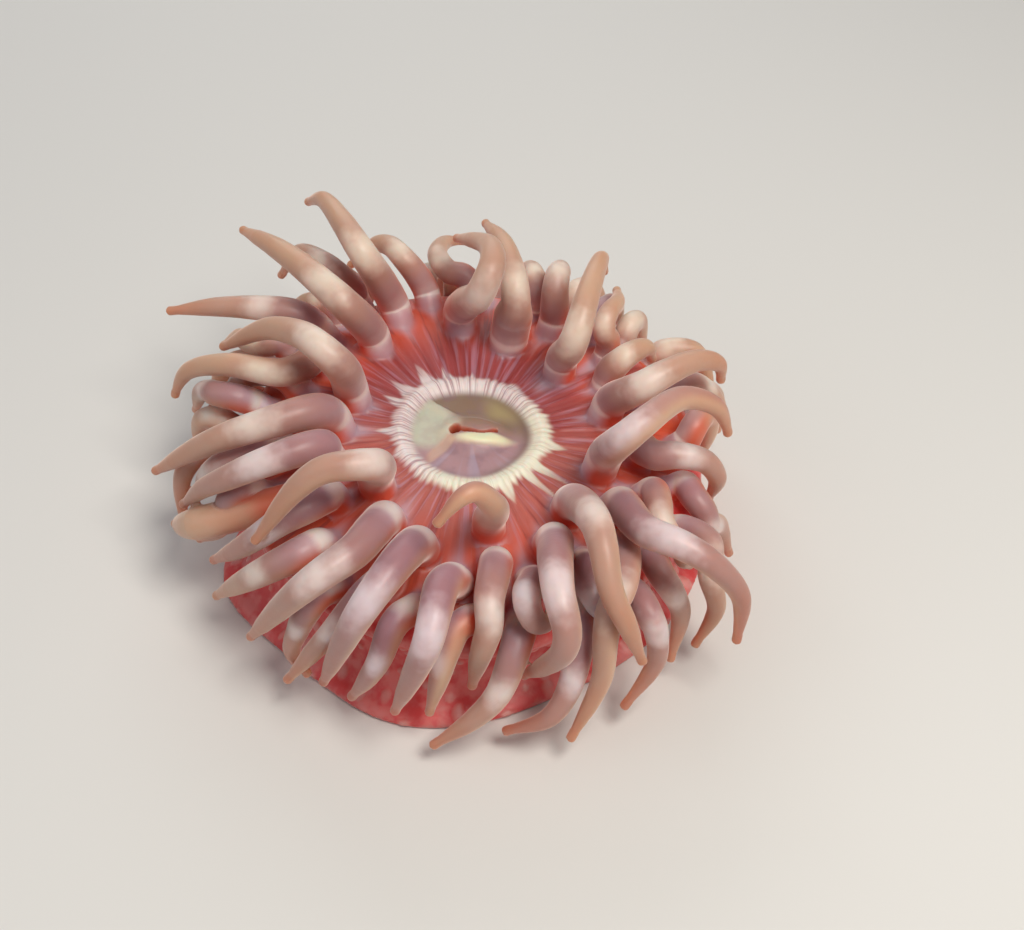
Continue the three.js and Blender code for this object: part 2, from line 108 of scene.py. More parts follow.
def curve_through(points, steps):
    """A smooth curve through the points, with that many steps from each to the next."""
    p = np.asarray(points, float)
    p = np.vstack([2 * p[0] - p[1], p, 2 * p[-1] - p[-2]])
    knot = np.concatenate([[0], np.cumsum(np.linalg.norm(np.diff(p, axis=0), axis=1) ** 0.5)])
    share = np.linspace(0, 1, steps, endpoint=False)[:, None]

    def between(first, last, start, end, t):
        return ((end - t) * first + (t - start) * last) / (end - start)

    spans = []
    for k in range(len(p) - 3):
        a, b, c, d = p[k : k + 4]
        at_a, at_b, at_c, at_d = knot[k : k + 4]
        t = at_b + (at_c - at_b) * share
        ab = between(a, b, at_a, at_b, t)
        bc = between(b, c, at_b, at_c, t)
        cd = between(c, d, at_c, at_d, t)
        abc, bcd = between(ab, bc, at_a, at_c, t), between(bc, cd, at_b, at_d, t)
        spans.append(between(abc, bcd, at_b, at_c, t))
    return np.vstack([*spans, p[-2:-1]])


def grid_faces(rings, sides):
    """Quads over a tube of rings, and a flat face on each end."""
    ring = np.arange(rings - 1)[:, None] * sides
    a = np.arange(sides)[None, :]
    b = (a + 1) % sides
    quads = np.stack([ring + a, ring + b, ring + b + sides, ring + a + sides], -1).reshape(-1, 4)
    last = (rings - 1) * sides
    return [*quads.tolist(), list(range(sides))[::-1], [last + k for k in range(sides)]]


disc_outline = [(reach, float(disc_profile(reach))) for reach in DISC_REACHES]
disc_outline += [(17.5, DISC_HEIGHT), (0.2, DISC_HEIGHT)]
outline = curve_through(FOOT_OUTLINE + WAIST_OUTLINE + COLLAR_OUTLINE + disc_outline, OUTLINE_STEPS)
turn = np.linspace(0, 2 * math.pi, BODY_SIDES, endpoint=False)
radius, height = outline[:, :1], outline[:, 1:]
turned_form = [radius * np.cos(turn), radius * np.sin(turn), np.repeat(height, BODY_SIDES, 1)]
body_points = warp(np.stack(turned_form, -1).reshape(-1, 3))
body_faces = grid_faces(len(outline), BODY_SIDES)
body_tree = BVHTree.FromPolygons(body_points.tolist(), body_faces)

# ---- the tentacles ----
# Seventy-three hollow fingers of thin flesh, in three cycles on the disc and a fringe round its back.
# Each keeps the midline and thickness of its solid, read off its rings of corners from tip to root.
MM = 0.001  # the flesh is shaped in millimetres, and brought to metres when the skin is done
ROUNDNESS = 0.965  # a flat-sided solid is a little thinner than its corners reach
RING_STEPS, STATION_GAP = 12, 0.5  # the midline is curved between the rings, then marked off evenly
TAPER_LENGTH, TAPER = 9, 0.25  # the end draws in by this share
BLUNT_LENGTH, LEAST_TIP = 2.6, 1.0  # the last stretch is of one thickness, and ends in a dome
DOME_END = 0.0004  # keeps the last ring of the dome from closing to nothing
INTO_BODY = (3.5, 2.4, 1.2)  # how deep in the body a finger starts, and two stations on the way out
ROOT = len(INTO_BODY)  # the station where it leaves the body
ROOT_STRETCH = 6  # stations from which its way into the body is taken
TONE, TONE_SPREAD, TONE_FRONT = 0.33, 0.28, 0.38  # 0 is a peach finger and 1 a mauve one
BASE_GAP = 0.75  # the corners of a finger's cut base are this near the body
FRINGE_HEIGHT, FRINGE_LEAN = 22, 0.7  # where the fringe grows from, with its share of the disc's lean
# A tip of the fringe is a corner this far out, with its neighbours this near and all to one side of it.
FRINGE_TIP_REACH, FRINGE_TIP_SPREAD, FRINGE_SHARPNESS = 53, 2.6, 0.4
FINGER_SIDES = 24


def welded(name):
    """A solid's corners and triangles, in millimetres, with corners at one place made one."""
    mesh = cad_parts[name].data
    mesh.calc_loop_triangles()
    places = np.array([v.co for v in mesh.vertices]) / MM
    corners, which = np.unique(np.round(places, 3), axis=0, return_inverse=True)
    triangles = np.array([t.vertices for t in mesh.loop_triangles])
    return corners, which.ravel()[triangles]


def neighbours_of(corners, triangles):
    """The corners that share an edge with each corner."""
    beside = [set() for _ in corners]
    for a, b, c in triangles.tolist():
        beside[a].update((b, c))
        beside[b].update((a, c))
        beside[c].update((a, b))
    return [sorted(s) for s in beside]


def farthest_from(starts, corners, beside):
    """The corner with the longest way to it over the solid's edges from the nearest of the starts."""
    far = np.full(len(corners), np.inf)
    far[starts] = 0
    waiting = list(starts)
    while waiting:
        k = waiting.pop(0)
        for n in beside[k]:
            way = far[k] + np.linalg.norm(corners[n] - corners[k])
            if way < far[n] - 1e-9:
                far[n] = way
                waiting.append(n)
    return int(np.argmax(far))


def unit(v):
    return v / np.linalg.norm(v)


def rings_from(tip, corners, beside):
    """The middles and radii of a finger's rings of corners, from the tip down to the last whole one."""
    sides = len(beside[tip])
    ring, passed = [tip], {tip}
    middles, sizes = [corners[tip]], [0.0]
    while True:
        ring = sorted({n for k in ring for n in beside[k]} - passed)
        if len(ring) != sides:
            return middles, sizes
        passed.update(ring)
        middles.append(corners[ring].mean(0))
        sizes.append(float(np.linalg.norm(corners[ring] - middles[-1], axis=1).mean()))


tentacles = []  # each is (midline, radii, direction of the mouth side, how far along, tone)


def tangents(path):
    """The way the midline runs at each of its stations."""
    way = np.gradient(path, axis=0)
    return way / np.linalg.norm(way, axis=1)[:, None]


def add_tentacle(root, middles, sizes):
    """Rounds the tip, carries the root on into the body, and notes which side faces the mouth."""
    path = curve_through([root, *middles[::-1]], RING_STEPS)
    sizes = [sizes[-1], *sizes[::-1]]
    sizes = np.interp(np.arange(len(path)) / RING_STEPS, range(len(sizes)), sizes) * ROUNDNESS
    way = np.concatenate([[0], np.cumsum(np.linalg.norm(np.diff(path, axis=0), axis=1))])
    length = way[-1]
    fine = np.linspace(0, length, int(length / STATION_GAP) + 2)
    path = np.stack([np.interp(fine, way, path[:, k]) for k in range(3)], 1)
    sizes = np.interp(fine, way, sizes)

    from_tip = length - fine
    sizes = sizes * (1 - TAPER * np.clip(1 - from_tip / TAPER_LENGTH, 0, 1))
    tip_size = max(LEAST_TIP, float(np.interp(length - BLUNT_LENGTH, fine, sizes)))
    sizes = np.where(from_tip < BLUNT_LENGTH, tip_size, sizes)
    dome = np.sqrt(np.clip(1 - (1 - from_tip / tip_size) ** 2, DOME_END, 1))
    sizes = np.where(from_tip < tip_size, tip_size * dome, sizes)

    inwards = unit(path[0] - path[ROOT_STRETCH])
    depths = np.array(INTO_BODY)
    path = np.vstack([path[0] + inwards * depths[:, None], path])
    sizes = np.concatenate([[sizes[0]] * len(depths), sizes])
    along = np.concatenate([-depths / length, fine / length])

    x, y = path[ROOT, :2]
    mouthward = np.array([-x, -y, 0.0])
    mouth_side = []
    for t in tangents(path):
        mouthward = unit(mouthward - t * (mouthward @ t))
        mouth_side.append(mouthward)
    number = len(tentacles)
    uneven = math.sin(2.7 * number + 1.3 * math.sin(number))
    frontness = -y / math.hypot(x, y)
    tone = TONE + TONE_SPREAD * uneven + TONE_FRONT * frontness
    tentacles.append((path, sizes, np.array(mouth_side), along, tone))


def closeness(k, corners, beside):
    """How near a corner's neighbours are to it. They crowd round the tip of a finger."""
    return float(np.linalg.norm(corners[beside[k]] - corners[k], axis=1).mean())


for name in sorted(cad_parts):
    if not name.startswith("tentacle"):
        continue
    corners, triangles = welded(name)
    beside = neighbours_of(corners, triangles)
    gaps = np.array([body_tree.find_nearest(place)[3] for place in corners])
    at_body = gaps < max(BASE_GAP, gaps.min() + 0.1)
    far = farthest_from(np.flatnonzero(at_body), corners, beside)
    tip = min([far, *beside[far]], key=lambda k: closeness(k, corners, beside))
    middles, sizes = rings_from(tip, corners, beside)
    cut = corners[triangles[at_body[triangles].all(1)]]
    areas = np.linalg.norm(np.cross(cut[:, 1] - cut[:, 0], cut[:, 2] - cut[:, 0]), axis=1)
    root = (cut.mean(1) * areas[:, None]).sum(0) / areas.sum()
    add_tentacle(root, middles, sizes)

# The fringe is one solid with the collar, so its fingers are found by their sharp tips.
corners, triangles = welded("collar")
beside = neighbours_of(corners, triangles)
for k, around in enumerate(beside):
    inwards = np.linalg.norm((corners[around] - corners[k]).mean(0))
    spread = closeness(k, corners, beside)
    sharp = inwards > FRINGE_SHARPNESS * spread and spread < FRINGE_TIP_SPREAD
    if sharp and np.hypot(*corners[k][:2]) > FRINGE_TIP_REACH:
        middles, sizes = rings_from(k, corners, beside)
        x, y = middles[-1][:2]
        share = WAIST_REACH / np.hypot(x, y)
        root = np.array([x * share, y * share, FRINGE_HEIGHT + lean_at(x, y) * FRINGE_LEAN])
        add_tentacle(root, middles, sizes)

finger_points, finger_faces = [], []
turn = np.linspace(0, 2 * math.pi, FINGER_SIDES, endpoint=False)[None, :, None]
for path, sizes, mouth_side, _, _ in tentacles:
    across = np.cross(tangents(path), mouth_side)
    ring = np.cos(turn) * mouth_side[:, None] + np.sin(turn) * across[:, None]
    start = len(body_points) + sum(map(len, finger_points))
    finger_points.append((path[:, None] + sizes[:, None, None] * ring).reshape(-1, 3))
    finger_faces += [[start + v for v in face] for face in grid_faces(len(path), FINGER_SIDES)]

# ---- the skin ----
# One unbroken, wet skin over the body and all the tentacles. It is grown over them as a fine even net,
# made truly round on the fingers, and eased where a finger leaves the disc.
CELL = 0.42  # of the net, in millimetres
FINE_REACH, FINE_LOW, FINE_HIGH = 27, 31, 38  # the part round the mouth where the net is halved
SMOOTHINGS, SMOOTH_IN, SMOOTH_OUT = 10, 0.6, 0.62
NEAR_STATIONS = 5  # stations of the midlines that are tried for each point of the skin
LEAST_OFFSET = 0.2  # keeps a point that is right on a midline from being thrown out
EASINGS, TINT_EASINGS = 6, 3  # passes over the creases, and over what the colours go by
rough = bpy.data.meshes.new("rough")
rough.from_pydata(np.vstack([body_points, *finger_points]).tolist(), [], body_faces + finger_faces)
grower = bpy.data.objects.new("rough", rough)
bpy.context.scene.collection.objects.link(grower)
remesh = grower.modifiers.new("net", "REMESH")
remesh.mode = "VOXEL"
remesh.voxel_size = CELL * 1
net = bpy.data.meshes.new_from_object(grower.evaluated_get(bpy.context.evaluated_depsgraph_get()))
bpy.data.objects.remove(grower)
bpy.data.meshes.remove(rough)

# A speck of net can be left by itself in a tight crease, so only what hangs together is kept.
worked = bmesh.new()
worked.from_mesh(net)
waiting = [min(worked.verts, key=lambda v: v.co.z)]
whole = set(waiting)
while waiting:
    for e in waiting.pop().link_edges:
        for v in e.verts:
            if v not in whole:
                whole.add(v)
                waiting.append(v)
bmesh.ops.delete(worked, geom=[v for v in worked.verts if v not in whole], context="VERTS")


# The ring round the mouth carries the finest work, so the net is halved there.
def near_mouth(place):
    return math.hypot(place.x, place.y) < FINE_REACH and FINE_LOW < place.z < FINE_HIGH


inner = [e for e in worked.edges if all(near_mouth(v.co) for v in e.verts)]
bmesh.ops.subdivide_edges(worked, edges=inner, cuts=1, use_grid_fill=True)
bmesh.ops.triangulate(worked, faces=[f for f in worked.faces if len(f.verts) > 4])
worked.to_mesh(net)
worked.free()

count = len(net.vertices)
skin_points = np.empty(count * 3)
net.vertices.foreach_get("co", skin_points)
skin_points = skin_points.reshape(-1, 3)
edges = np.empty(len(net.edges) * 2, np.int32)
net.edges.foreach_get("vertices", edges)
edges = edges.reshape(-1, 2)
valence = np.bincount(edges.ravel(), minlength=count)


def neighbour_mean(values):
    """For each point of the skin, the mean of what its neighbours have."""
    total = np.stack(
        [
            np.bincount(edges[:, 0], values[edges[:, 1], k], count)
            + np.bincount(edges[:, 1], values[edges[:, 0], k], count)
            for k in range(values.shape[1])
        ],
        1,
    )
    return total / valence[:, None]


# Each pass in and out again takes the steps off the net without thinning the fingers.
for _ in range(SMOOTHINGS):
    skin_points += SMOOTH_IN * (neighbour_mean(skin_points) - skin_points)
    skin_points -= SMOOTH_OUT * (neighbour_mean(skin_points) - skin_points)

# Which finger each point of the skin belongs to, and where on it.
stations = np.vstack([path for path, *_ in tentacles])
station_size = np.concatenate([sizes for _, sizes, *_ in tentacles])
station_side = np.vstack([side for _, _, side, _, _ in tentacles])
station_along = np.concatenate([along for *_, along, _ in tentacles])
station_way = np.vstack([np.gradient(path, axis=0) for path, *_ in tentacles])
station_step = np.linalg.norm(station_way, axis=1)
station_way /= station_step[:, None]
station_taper = np.concatenate([np.gradient(sizes) for _, sizes, *_ in tentacles]) / station_step
station_tone = np.concatenate([np.full(len(path), tone) for path, *_, tone in tentacles])
tree = KDTree(len(stations))
for k, place in enumerate(stations):
    tree.insert(place, k)
tree.balance()
nearest = np.empty(count, np.int32)
finger_gap = np.empty(count)
body_gap = np.empty(count)
for k, place in enumerate(skin_points):
    found = [(distance - station_size[n], n) for _, n, distance in tree.find_n(place, NEAR_STATIONS)]
    finger_gap[k], nearest[k] = min(found)
    body_gap[k] = body_tree.find_nearest(place)[3]


def ease(low, high, value):
    """0 at low and 1 at high, with a soft start and end. High may be the smaller of the two."""
    t = np.clip((value - low) / (high - low), 0, 1)
    return t * t * (3 - 2 * t)


# Clear of the disc and short of the tip, each finger is made truly round about its midline.
onward = ((skin_points - stations[nearest]) * station_way[nearest]).sum(1)
centre = stations[nearest] + onward[:, None] * station_way[nearest]
round_size = station_size[nearest] + onward * station_taper[nearest]
offset = skin_points - centre
offset_size = np.maximum(np.linalg.norm(offset, axis=1), LEAST_OFFSET)
trued = centre + offset * (round_size / offset_size)[:, None]
clear_of_disc, on_finger = ease(0.8, 2.4, body_gap), ease(0.6, 0.3, np.abs(finger_gap))
true_share = clear_of_disc * on_finger * ease(0.5, 0.3, np.abs(onward))
true_share *= ease(0.25, 0.12, np.abs(station_taper[nearest]))  # none on the dome of the tip
skin_points += true_share[:, None] * (trued - skin_points)

# What each point takes its colour from: whether it is on a finger, how far along, which side, what tone.
arm = ease(-0.5, 0.9, body_gap - np.maximum(finger_gap, 0))
along = np.clip(station_along[nearest], -0.2, 1)
outwards = skin_points - stations[nearest]
outwards /= np.maximum(np.linalg.norm(outwards, axis=1), 1e-6)[:, None]
oral = (outwards * station_side[nearest]).sum(1)
tone = station_tone[nearest]

# Flesh rounds gently from the disc into each finger.
crease = np.exp(-((body_gap - np.clip(finger_gap, 0, None)) ** 2) / 0.8)
crease *= (finger_gap < 1.2) * (body_gap < 2)
for _ in range(EASINGS):
    skin_points += 0.5 * crease[:, None] * (neighbour_mean(skin_points) - skin_points)
for _ in range(TINT_EASINGS):
    arm = neighbour_mean(arm[:, None])[:, 0]
    along = neighbour_mean(along[:, None])[:, 0]
    oral = neighbour_mean(oral[:, None])[:, 0]

x, y, z = skin_points.T
azimuth = np.arctan2(y, x)
level, reach = level_and_reach(skin_points)

# ---- the mouth ----
# A pleated white ring stands round a shallow dish, and in the middle the lips close on a slit.
# It is all one sheet of flesh, folded. Some of its colour is painted shade: at the back of the dish, under
# the ring's right inner edge, in the pleat hollows and deep in the slit.
RING_INNER, RING_OUTER, RAY_FADE = 12.6, 16.4, 22
RING_CREST, RING_HALF, RING_RISE = 15, 1.75, 0.95
PLEATS, PLEAT_CREST, PLEAT_HALF, PLEAT_RISE = 66, 14.9, 1.9, 0.15
RING_FLOOR = 31  # nothing under this level is of the ring or the mouth
DISH_DEPTH, DISH_CROWN = 0.55, 1.55  # the dish sinks inside the ring, and rises again to the lips
LIP_RISE, UPPER_LIP_RISE, PAD_EDGE_RISE, GROOVE_DEPTH = 0.55, 0.35, 0.6, 0.25
SLIT_MIDDLE, SLIT_HALF, SLIT_HALF_WIDTH, SLIT_DEPTH = 0.9, 5.1, 0.26, 3.6
SLIT_END = 4.9  # beyond this from its middle the slit is closed
SLIT_CORNER, SLIT_CORNER_SIZE = (-3.1, 0.3), 0.95  # the round pit at its left end
MOUTH_REACH = 21
RAYS = (  # azimuth in degrees, how far out the point reaches, and its width in degrees
    (108, 20.5, 5),
    (122, 22.5, 6),
    (140, 22, 7),
    (153, 21, 6),
    (182, 20, 5),
    (206, 17.5, 6),
    (297, 21, 5),
    (317, 27, 4.5),
    (328, 25, 4.5),
    (351, 19.5, 5),
    (20, 17.6, 7),
    (58, 17.4, 7),
    (90, 18.2, 6),
)
ray_reach = np.full(count, RING_OUTER)
for middle, far, width in RAYS:
    aside = np.abs(degrees_aside(azimuth, middle))
    point = RING_OUTER + (far - RING_OUTER) * np.clip(1 - aside / width, 0, 1) ** 1.3
    ray_reach = np.maximum(ray_reach, point)
pleat = np.cos(PLEATS * azimuth + 1.2 * np.sin(3 * azimuth) + 0.8 * np.sin(7 * azimuth + 1))
pleat_depth = 0.6 + 0.4 * np.sin(13 * azimuth + 2 * np.sin(4 * azimuth))
ragged = 0.42 * pleat * pleat_depth + 0.5 * np.sin(11 * azimuth + 0.5) * np.sin(5 * azimuth)
flat_part = (level > RING_FLOOR) & (arm < 0.5)
ring_mask = ease(RING_INNER - 1.1, RING_INNER + 0.9, reach) * ease(1.1, -0.7, reach - ray_reach - ragged)
ring_mask *= flat_part * (1 - 0.55 * ease(RING_OUTER, RAY_FADE, reach))


def blob(middle, half, turned, edge):
    """1 inside an ellipse laid on the disc and turned by so many degrees, easing to 0 over its edge."""
    c, s = math.cos(math.radians(turned)), math.sin(math.radians(turned))
    u = ((x - middle[0]) * c + (y - middle[1]) * s) / half[0]
    v = ((y - middle[1]) * c - (x - middle[0]) * s) / half[1]
    return ease(1 + edge, 1 - edge, np.hypot(u, v))


# The slit runs from left to right in a shallow bow, and ends on the left in a small round pit.
slit_line = 0.25 - 0.8 * np.exp(-(((x - 2.3) / 2.3) ** 2)) + 0.4 * ease(3.5, 6.2, x)
slit_half = SLIT_HALF_WIDTH * np.sqrt(np.clip(1 - ((x - SLIT_MIDDLE) / SLIT_HALF) ** 2, 0, 1))
far_off = 9 * (np.abs(x - SLIT_MIDDLE) > SLIT_END)
slit_gap = np.abs(y - slit_line) - slit_half + far_off
corner_gap = np.hypot(x - SLIT_CORNER[0], y - SLIT_CORNER[1]) - SLIT_CORNER_SIZE
slit_gap = np.minimum(slit_gap, corner_gap)
slit = ease(0.45, -0.25, slit_gap)
slit_red = ease(0.75, 0.05, slit_gap)
# painted shade: near black deep in the narrow slit, over the red of its throat
slit_shade = ease(0.25, -0.15, slit_gap)

# Round it lie the rolled lower lip, the upper lip, a pale pad on the left, and a groove below the pad.
lip_roll = blob(middle=(2.8, -2.1), half=(5.6, 1.5), turned=3, edge=0.45)
upper_lip = blob(middle=(1.5, 2.4), half=(5.5, 1.5), turned=-6, edge=0.5)
pad_edge = (y - 11.2) + (x + 11) * 0.66  # below 0 is the pad's side of its sharp upper edge
pad = ease(0.35, -0.35, pad_edge) * blob(middle=(-9.3, 2.6), half=(6.6, 6.8), turned=-8, edge=0.3)
from_groove = np.abs((y + 1.3) - (x + 3.3) * 1.15) / 1.5
groove = ease(1.7, 0.7, from_groove) * ease(-2.6, -3.8, x) * ease(-9.5, -8, x)

in_mouth = flat_part & (reach < MOUTH_REACH)
ring_rise = RING_RISE * np.exp(-(((reach - RING_CREST) / RING_HALF) ** 2))
pleat_rise = PLEAT_RISE * pleat * pleat_depth * np.exp(-(((reach - PLEAT_CREST) / PLEAT_HALF) ** 2))
dish = -DISH_DEPTH * ease(14, 10.5, reach) + DISH_CROWN * ease(9, 3.2, np.hypot(x - 0.5, y * 1.25))
mouth_height = (
    DISC_HEIGHT
    + ring_rise
    + pleat_rise
    + dish
    + LIP_RISE * lip_roll
    + UPPER_LIP_RISE * upper_lip
    + PAD_EDGE_RISE * pad * ease(6, 0, np.abs(pad_edge))
    - GROOVE_DEPTH * groove
    - SLIT_DEPTH * slit
)
settled = ease(20.5, 17.5, reach) * in_mouth
new_z = mouth_height + lean_at(x, y) * mouth_height / DISC_HEIGHT
skin_points[:, 2] = np.where(in_mouth, z + (new_z - z) * settled, z)

# ---- folds of the disc and warts of the column ----
# The disc is drawn into soft radial folds, one over each partition inside, with a pale patch running
# in from the foot of each finger. The column carries rows of small sticky warts, domes of paler skin.
DISC_LOW = 24  # nothing under this level is of the disc
FRINGE_REACH = 50  # fingers rooted farther out than this are not on the disc
PATCH_RUN, PATCH_RUN_SPREAD, PATCH_FADE = 6, 3, 3
FOLDS, FOLD_RISE = 48, 0.13
WART_ROWS, WART_PITCH, WART_RISE = 58, 4.1, 0.45
WART_SIZE, WART_SIZE_SPREAD = 1.05, 0.35
COLUMN_REACH = 45  # about the column's radius, where the rows are laid out

patch = np.zeros(count)
for path, sizes, *_ in tentacles:
    root_x, root_y = path[ROOT, :2]
    root_reach = math.hypot(root_x, root_y)
    if root_reach > FRINGE_REACH:
        continue
    turned = (azimuth - math.atan2(root_y, root_x) + math.pi) % (2 * math.pi) - math.pi
    before = root_reach - reach
    run = PATCH_RUN + PATCH_RUN_SPREAD * math.sin(1.7 * root_reach)
    wide = 0.30 * sizes[ROOT] + 0.45 * sizes[ROOT] * ease(run, 0, before)
    share = np.exp(-((turned * reach / wide) ** 2)) * ease(run + PATCH_FADE, 1, before)
    patch = np.maximum(patch, share * (before > -3))
patch *= (level > DISC_LOW) * ease(17.5, 21, reach)

on_disc = ease(17, 20, reach) * ease(46, 40, reach) * (1 - arm) * (level > DISC_LOW)
fold = np.cos(FOLDS * azimuth + 1.5 * np.sin(4 * azimuth))
fold += 0.5 * np.cos(2 * FOLDS * azimuth + 2 * np.sin(5 * azimuth))
skin_points[:, 2] += FOLD_RISE * fold * on_disc

# Each wart stands a little off its even place in the row, and no two are of one size.
side_wall = ease(0.5, 0.2, arm) * ease(40, 42, reach) * ease(0.8, 1.6, level) * ease(27.5, 26, level)
row = azimuth / (2 * math.pi) * WART_ROWS
row_number = np.round(row)
every_other = 0.5 * (row_number % 2)
place_in_row = level / WART_PITCH + every_other
wart_number = np.round(place_in_row)
sway = 0.28 * np.sin(12.9 * row_number + 7.7 * wart_number)
rise = 0.25 * np.sin(4.7 * row_number + 9.1 * wart_number)
off_row = (row - row_number - sway) * 2 * math.pi * COLUMN_REACH / WART_ROWS
off_level = (place_in_row - wart_number - rise) * WART_PITCH
wart_size = WART_SIZE + WART_SIZE_SPREAD * np.sin(3.3 * row_number + 5.9 * wart_number)
wart = np.clip(1 - (off_row**2 + off_level**2) / wart_size**2, 0, 1) * side_wall

net.vertices.foreach_set("co", np.ascontiguousarray(skin_points, np.float32).ravel())
net.update()
normals = np.empty(count * 3, np.float32)
net.vertex_normals.foreach_get("vector", normals)
normals = normals.reshape(-1, 3)
skin_points += normals * (WART_RISE * np.sqrt(wart))[:, None]
skin_points[:, 2] = np.maximum(skin_points[:, 2], 0)
net.vertices.foreach_set("co", np.ascontiguousarray(skin_points * MM, np.float32).ravel())
net.update()
net.name = "anemone_skin"
net.shade_smooth()

for label, values in (
    ("arm", arm),
    ("along", along),
    ("oral", oral),
    ("tone", tone),
    ("wart", np.sqrt(wart)),
    ("ring", ring_mask),
    ("pleat", pleat * pleat_depth * in_mouth),
    ("slit_red", slit_red * in_mouth),
    ("slit_shade", slit_shade * in_mouth),
    ("lip_roll", lip_roll * in_mouth),
    ("pad", pad * in_mouth),
    ("groove", groove * in_mouth),
    ("patch", patch),
):
    layer = net.attributes.new(label, "FLOAT", "POINT")
    layer.data.foreach_set("value", np.ascontiguousarray(values, np.float32))

# ---- the colours of the flesh ----
# Thin wet flesh that glows a little: red on the column and disc, smoky mauve to peach with soft pale bands
# on the fingers, and white, olive and mauve round the mouth. Some colour is painted light: a highlight in
# the bands, a glow on the rim by each finger's root, and shade in the mouth's hollows and at the back of
# its dish.
flesh = bpy.data.materials.new("flesh")
flesh.use_nodes = True
nodes, links = flesh.node_tree.nodes, flesh.node_tree.links
nodes.clear()
output = nodes.new("ShaderNodeOutputMaterial")
surface = nodes.new("ShaderNodeBsdfPrincipled")
links.new(surface.outputs["BSDF"], output.inputs["Surface"])


def plug(socket, value):
    """Gives a socket another node's output, a colour or a number."""
    if isinstance(value, bpy.types.NodeSocket):
        links.new(value, socket)
    elif socket.type == "RGBA":
        socket.default_value = (*value, 1)
    else:
        socket.default_value = value


def calc(operation, a, b=0.0, c=0.0):
    n = nodes.new("ShaderNodeMath")
    n.operation = operation
    for socket, value in zip(n.inputs, (a, b, c)):
        plug(socket, value)
    return n.outputs[0]


def step(low, high, value):
    """0 at low and 1 at high, as ease does for the shape."""
    n = nodes.new("ShaderNodeMapRange")
    n.interpolation_type = "SMOOTHSTEP"
    plug(n.inputs["Value"], value)
    n.inputs["From Min"].default_value = min(low, high)
    n.inputs["From Max"].default_value = max(low, high)
    n.inputs["To Min"].default_value = 0 if low < high else 1
    n.inputs["To Max"].default_value = 1 if low < high else 0
    return n.outputs["Result"]


def over(share, under, top):
    """The under colour with a share of the top one laid over it."""
    n = nodes.new("ShaderNodeMix")
    n.data_type = "RGBA"
    plug(n.inputs["Factor"], share)
    plug(n.inputs[6], under)
    plug(n.inputs[7], top)
    return n.outputs[2]


def ramp(value, *stops):
    """A colour that passes through the stops, each a place from 0 to 1 and its colour."""
    n = nodes.new("ShaderNodeValToRGB")
    n.color_ramp.interpolation = "EASE"
    while len(n.color_ramp.elements) < len(stops):
        n.color_ramp.elements.new(0.5)
    for element, (at, colour) in zip(n.color_ramp.elements, stops):
        element.position = at
        element.color = (*colour, 1)
    plug(n.inputs["Fac"], value)
    return n.outputs["Color"]


def noise(vector, scale, detail=2.0, roughness=0.5):
    n = nodes.new("ShaderNodeTexNoise")
    n.inputs["Scale"].default_value = scale
    n.inputs["Detail"].default_value = detail
    n.inputs["Roughness"].default_value = roughness
    links.new(vector, n.inputs["Vector"])
    return n.outputs["Fac"]


def carried(label):
    """What the skin carries under this label, worked out point by point above."""
    n = nodes.new("ShaderNodeAttribute")
    n.attribute_name = label
    return n.outputs["Fac"]


# where a point of the skin is: px to the right, py to the back, pz up, and how far out from the middle
place = nodes.new("ShaderNodeTexCoord").outputs["Object"]
split = nodes.new("ShaderNodeSeparateXYZ")
links.new(place, split.inputs[0])
px, py, pz = (calc("MULTIPLY", split.outputs[k], 1 / MM) for k in range(3))
far = calc("SQRT", calc("ADD", calc("MULTIPLY", px, px), calc("MULTIPLY", py, py)))
angle = calc("ARCTAN2", py, px)


def polar(angular, radial):
    """Coordinates that run round the disc without a seam, stretched along the radius."""
    join = nodes.new("ShaderNodeCombineXYZ")
    links.new(calc("MULTIPLY", calc("COSINE", angle), angular), join.inputs[0])
    links.new(calc("MULTIPLY", calc("SINE", angle), angular), join.inputs[1])
    links.new(calc("MULTIPLY", far, radial), join.inputs[2])
    return join.outputs[0]


# the disc: crimson by the ring at the back, rosier in front, orange-red outwards, streaked in and out
DISC_ROSE, DISC_CRIMSON, DISC_SCARLET = (0.46, 0.12, 0.095), (0.34, 0.060, 0.062), (0.64, 0.085, 0.034)
DARK_STREAK, LILAC_STREAK, LILAC_PATCH = (0.27, 0.030, 0.030), (0.48, 0.28, 0.38), (0.58, 0.47, 0.56)
from_middle = calc("MAXIMUM", far, 1.0)
backness = step(-0.5, 0.7, calc("DIVIDE", py, from_middle))
near_colour = over(backness, DISC_ROSE, DISC_CRIMSON)
disc_colour = over(step(22, 36, far), near_colour, DISC_SCARLET)
dark_streaks = noise(polar(15.0, 0.05), 1.0, 3.0, 0.6)
disc_colour = over(calc("MULTIPLY", step(0.52, 0.70, dark_streaks), 0.8), disc_colour, DARK_STREAK)
pale_streaks = noise(polar(22.0, 0.045), 1.3, 2.0, 0.5)
pale_share = calc("MULTIPLY", step(0.50, 0.68, pale_streaks), step(44, 18, far))
disc_colour = over(calc("MULTIPLY", pale_share, 0.5), disc_colour, LILAC_STREAK)
disc_colour = over(calc("MULTIPLY", carried("patch"), 0.85), disc_colour, LILAC_PATCH)

# the column: strong red, with paler warts
COLUMN_RED, COLUMN_ROSE, WART_PALE = (0.72, 0.060, 0.062), (0.78, 0.19, 0.18), (0.62, 0.34, 0.31)
column_colour = over(step(0.35, 0.65, noise(place, 260.0, 3.0)), COLUMN_RED, COLUMN_ROSE)
column_colour = over(calc("MULTIPLY", carried("wart"), 0.55), column_colour, WART_PALE)
under_collar = calc("MULTIPLY", step(27.5, 25.0, pz), step(39.0, 42.0, far))
body_colour = over(under_collar, disc_colour, column_colour)
